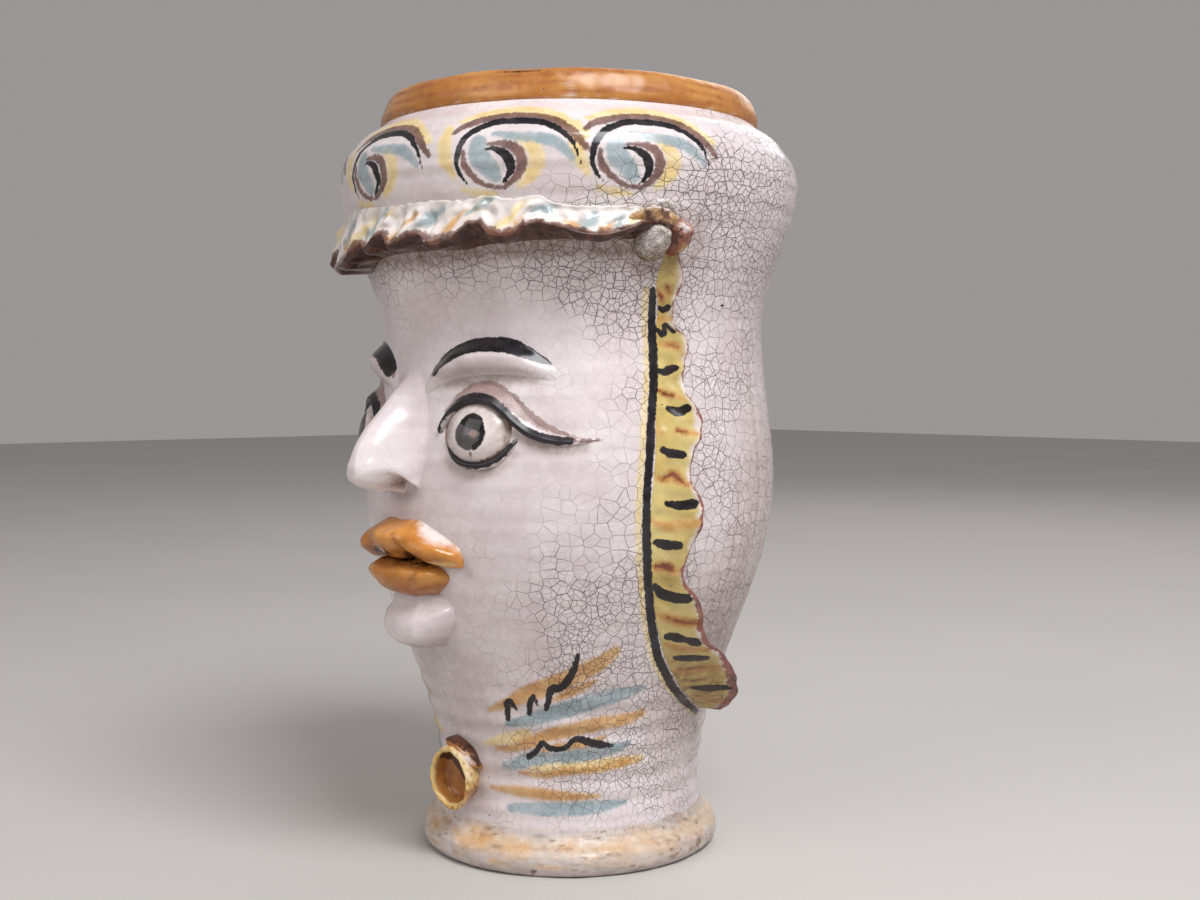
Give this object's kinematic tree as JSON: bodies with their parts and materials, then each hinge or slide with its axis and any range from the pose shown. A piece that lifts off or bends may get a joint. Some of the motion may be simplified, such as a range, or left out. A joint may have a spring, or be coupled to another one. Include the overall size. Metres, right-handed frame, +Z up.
{
  "type": "face vase",
  "caption": "Tall glazed earthenware vase in the shape of a head in a hat, open at the top, with a pinched hat edge, hanging ribbons and a brooch at the neck.",
  "frame": {"origin": "centre of the flat underside of the foot, on the surface that the vase stands on", "axes": "+Z up the axis of the pot; the face looks along -Y; +X is the head's own left side"},
  "size_m": [0.2596, 0.2768, 0.42],
  "materials": {
    "white_glaze": "glossy crackled tin glaze",
    "ochre_glaze": "glossy orange ochre brushed over tin glaze",
    "frill_glaze": "glossy tin glaze streaked blue-green, orange and yellow",
    "brown_glaze": "glossy manganese brown and black",
    "yellow_glaze": "glossy yellow with ochre smudges and black strokes"
  },
  "bodies": {
    "root": {"brooch_cup": "ochre_glaze", "brooch_leaf": "ochre_glaze", "brow_left": "brown_glaze", "brow_right": "brown_glaze", "chin": "white_glaze", "crown_wall": "white_glaze", "eyeball_left": "white_glaze", "eyeball_right": "white_glaze", "face_wall": "white_glaze", "foot": "white_glaze", "hat_frill": "frill_glaze", "knot_end_left": "brown_glaze", "knot_end_right": "brown_glaze", "knot_left": "white_glaze", "knot_right": "white_glaze", "lower_lid_left": "brown_glaze", "lower_lid_right": "brown_glaze", "lower_lip": "ochre_glaze", "nose": "white_glaze", "ribbon_left": "yellow_glaze", "ribbon_right": "yellow_glaze", "rim_collar": "ochre_glaze", "upper_lid_left": "brown_glaze", "upper_lid_right": "brown_glaze", "upper_lip": "ochre_glaze"}
  },
  "joints": []
}
